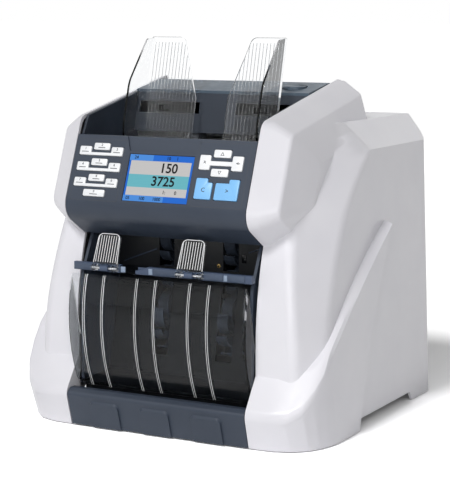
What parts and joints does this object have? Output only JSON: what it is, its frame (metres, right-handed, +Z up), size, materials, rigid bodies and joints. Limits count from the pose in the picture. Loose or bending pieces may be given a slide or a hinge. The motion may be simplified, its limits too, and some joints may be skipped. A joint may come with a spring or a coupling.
{
  "type": "banknote counting machine",
  "caption": "Desktop banknote counter with a white two-sided case, tilted key and display panel, top feed hopper with sliding guides, reject pocket and a clear-fronted stacker.",
  "frame": {"origin": "on the floor under the middle of the machine", "axes": "+X to the right as seen by the user, +Y to the rear, +Z up; the user stands at -Y"},
  "size_m": [0.344, 0.3335, 0.3966],
  "materials": {
    "pearl_shell": "pearl gloss moulding",
    "slate_plastic": "fine satin moulding",
    "deck_plastic": "fine satin moulding",
    "key_white": "satin keycap",
    "key_blue": "satin keycap",
    "screen": "backlit window",
    "clear_plastic": "clear smoky polycarbonate",
    "guide_plastic": "clear ribbed polycarbonate",
    "black_plastic": "fine texture",
    "steel": "plain steel",
    "sheet_metal": "zinc plated sheet",
    "roller_rubber": "matt rubber tyre on a shaft",
    "drum": "turned",
    "impeller": "soft moulded fins",
    "belt_rubber": "smooth belt",
    "motor": "satin black",
    "pulley": "turned",
    "circuit_board": "solder mask",
    "foot_rubber": "matt rubber"
  },
  "bodies": {
    "root": {"right_shell": "pearl_shell", "left_shell": "pearl_shell", "control_panel": "slate_plastic", "front_plinth": "slate_plastic", "rear_panel": "slate_plastic", "hopper_tray": "deck_plastic", "hopper_back": "deck_plastic", "top_deck": "deck_plastic", "reject_tray": "deck_plastic", "pocket_cheeks": "deck_plastic", "stacker_plate": "deck_plastic", "display_module": "screen", "rear_sockets": "black_plastic", "power_switch": "black_plastic", "sensor_bars": "black_plastic", "guide_rod": "steel", "hinge_pins": "steel", "tie_bars": "steel", "panel_screws": "steel", "base_plate": "sheet_metal", "side_frame_right": "sheet_metal", "side_frame_left": "sheet_metal", "note_chutes": "sheet_metal", "power_supply": "sheet_metal", "retard_roller": "roller_rubber", "drive_belts": "belt_rubber", "drive_motor": "motor", "keypad_boards": "circuit_board", "main_board": "circuit_board", "rubber_feet": "foot_rubber"},
    "guide_right": {"guide_right": "guide_plastic"},
    "guide_left": {"guide_left": "guide_plastic"},
    "gap_knob": {"gap_knob": "black_plastic"},
    "rear_cover": {"rear_cover": "pearl_shell"},
    "stacker_door": {"stacker_door": "clear_plastic"},
    "reject_stop_left": {"reject_stop_left": "clear_plastic"},
    "reject_stop_right": {"reject_stop_right": "clear_plastic"},
    "diverter_gate": {"diverter_gate": "steel"},
    "power_rocker": {"power_rocker": "black_plastic"},
    "pickup_roller": {"pickup_roller": "roller_rubber"},
    "feed_roller": {"feed_roller": "roller_rubber"},
    "transport_drum": {"transport_drum": "drum"},
    "pinch_roller": {"pinch_roller": "roller_rubber"},
    "stacker_wheels": {"stacker_wheels": "impeller"},
    "reject_wheels": {"reject_wheels": "impeller"},
    "motor_pulley": {"motor_pulley": "pulley"},
    "key_2": {"key_2": "key_white"},
    "key_5": {"key_5": "key_white"},
    "key_8": {"key_8": "key_white"},
    "key_0": {"key_0": "key_white"},
    "key_up": {"key_up": "key_white"},
    "key_down": {"key_down": "key_white"},
    "key_clear": {"key_clear": "key_blue"},
    "key_start": {"key_start": "key_blue"},
    "key_1_3": {"key_1_3": "key_white"},
    "key_4_6": {"key_4_6": "key_white"},
    "key_7_9": {"key_7_9": "key_white"},
    "key_escape_enter": {"key_escape_enter": "key_white"}
  },
  "joints": [
    {"name": "guide_right_slide", "type": "slide", "parent": "root", "child": "guide_right", "axis": [1, 0, 0], "range_m": [-0.016, 0.018]},
    {"name": "guide_left_slide", "type": "slide", "parent": "root", "child": "guide_left", "axis": [-1, 0, 0], "range_m": [-0.016, 0.018]},
    {"name": "gap_knob_turn", "type": "hinge", "parent": "root", "child": "gap_knob", "pos_m": [0.075, 0, 0.341], "axis": [0, 0, 1], "range_deg": [-150, 150]},
    {"name": "rear_cover_hinge", "type": "hinge", "parent": "root", "child": "rear_cover", "pos_m": [0, 0.157, 0.102], "axis": [1, 0, 0], "range_deg": [-75, 0]},
    {"name": "stacker_door_hinge", "type": "hinge", "parent": "root", "child": "stacker_door", "pos_m": [0, -0.134, 0.054], "axis": [1, 0, 0], "range_deg": [0, 40]},
    {"name": "reject_stop_left_hinge", "type": "hinge", "parent": "root", "child": "reject_stop_left", "pos_m": [-0.063, -0.1526, 0.1665], "axis": [1, 0, 0], "range_deg": [0, 80]},
    {"name": "reject_stop_right_hinge", "type": "hinge", "parent": "root", "child": "reject_stop_right", "pos_m": [0.035, -0.1526, 0.1665], "axis": [1, 0, 0], "range_deg": [0, 80]},
    {"name": "diverter_gate_rock", "type": "hinge", "parent": "root", "child": "diverter_gate", "pos_m": [0, -0.004, 0.14], "axis": [1, 0, 0], "range_deg": [-12, 12], "stiffness_Nm_per_rad": 0.12},
    {"name": "power_rocker_tip", "type": "hinge", "parent": "root", "child": "power_rocker", "pos_m": [-0.024, 0.16172, 0.048], "axis": [1, 0, 0], "range_deg": [-16, 0]},
    {"name": "transport_drum_spin", "type": "hinge", "parent": "root", "child": "transport_drum", "pos_m": [0, 0.045, 0.165], "axis": [1, 0, 0], "continuous": true},
    {"name": "feed_roller_spin", "type": "hinge", "parent": "root", "child": "feed_roller", "pos_m": [0, -0.042, 0.2595], "axis": [1, 0, 0], "continuous": true},
    {"name": "pickup_roller_spin", "type": "hinge", "parent": "root", "child": "pickup_roller", "pos_m": [0, -0.091, 0.2748], "axis": [1, 0, 0], "continuous": true},
    {"name": "pinch_roller_spin", "type": "hinge", "parent": "root", "child": "pinch_roller", "pos_m": [0, 0.089, 0.172], "axis": [1, 0, 0], "continuous": true},
    {"name": "stacker_wheels_spin", "type": "hinge", "parent": "root", "child": "stacker_wheels", "pos_m": [0, -0.059, 0.1], "axis": [1, 0, 0], "continuous": true},
    {"name": "reject_wheels_spin", "type": "hinge", "parent": "root", "child": "reject_wheels", "pos_m": [0, -0.048, 0.18], "axis": [1, 0, 0], "continuous": true},
    {"name": "motor_pulley_spin", "type": "hinge", "parent": "root", "child": "motor_pulley", "pos_m": [0, 0.1, 0.06], "axis": [1, 0, 0], "continuous": true},
    {"name": "key_2_press", "type": "slide", "parent": "root", "child": "key_2", "axis": [0, 0.9323, -0.3616], "range_m": [0, 0.0012], "stiffness_N_per_m": 300, "springref_m": -0.0006},
    {"name": "key_5_press", "type": "slide", "parent": "root", "child": "key_5", "axis": [0, 0.9323, -0.3616], "range_m": [0, 0.0012], "stiffness_N_per_m": 300, "springref_m": -0.0006},
    {"name": "key_8_press", "type": "slide", "parent": "root", "child": "key_8", "axis": [0, 0.9323, -0.3616], "range_m": [0, 0.0012], "stiffness_N_per_m": 300, "springref_m": -0.0006},
    {"name": "key_0_press", "type": "slide", "parent": "root", "child": "key_0", "axis": [0, 0.9323, -0.3616], "range_m": [0, 0.0012], "stiffness_N_per_m": 300, "springref_m": -0.0006},
    {"name": "key_up_press", "type": "slide", "parent": "root", "child": "key_up", "axis": [0, 0.9323, -0.3616], "range_m": [0, 0.0012], "stiffness_N_per_m": 300, "springref_m": -0.0006},
    {"name": "key_down_press", "type": "slide", "parent": "root", "child": "key_down", "axis": [0, 0.9323, -0.3616], "range_m": [0, 0.0012], "stiffness_N_per_m": 300, "springref_m": -0.0006},
    {"name": "key_clear_press", "type": "slide", "parent": "root", "child": "key_clear", "axis": [0, 0.9323, -0.3616], "range_m": [0, 0.0012], "stiffness_N_per_m": 300, "springref_m": -0.0006},
    {"name": "key_start_press", "type": "slide", "parent": "root", "child": "key_start", "axis": [0, 0.9323, -0.3616], "range_m": [0, 0.0012], "stiffness_N_per_m": 300, "springref_m": -0.0006},
    {"name": "key_1_3_rock", "type": "hinge", "parent": "root", "child": "key_1_3", "pos_m": [-0.0709, -0.14196, 0.28339], "axis": [0, 0.3616, 0.9323], "range_deg": [-2, 2], "stiffness_Nm_per_rad": 0.12},
    {"name": "key_4_6_rock", "type": "hinge", "parent": "root", "child": "key_4_6", "pos_m": [-0.0709, -0.14785, 0.26819], "axis": [0, 0.3616, 0.9323], "range_deg": [-2, 2], "stiffness_Nm_per_rad": 0.12},
    {"name": "key_7_9_rock", "type": "hinge", "parent": "root", "child": "key_7_9", "pos_m": [-0.0709, -0.15378, 0.2529], "axis": [0, 0.3616, 0.9323], "range_deg": [-2, 2], "stiffness_Nm_per_rad": 0.12},
    {"name": "key_escape_enter_rock", "type": "hinge", "parent": "root", "child": "key_escape_enter", "pos_m": [0.0675, -0.14449, 0.27686], "axis": [0, 0.3616, 0.9323], "range_deg": [-2, 2], "stiffness_Nm_per_rad": 0.12}
  ],
  "couplings": [
    {"joint": "feed_roller_spin", "follows": "transport_drum_spin", "ratio": 1.5714},
    {"joint": "pickup_roller_spin", "follows": "transport_drum_spin", "ratio": 2.0952},
    {"joint": "stacker_wheels_spin", "follows": "transport_drum_spin", "ratio": 1.375},
    {"joint": "reject_wheels_spin", "follows": "transport_drum_spin", "ratio": 1.6923},
    {"joint": "motor_pulley_spin", "follows": "transport_drum_spin", "ratio": 2},
    {"joint": "pinch_roller_spin", "follows": "transport_drum_spin", "ratio": -3.4}
  ]
}
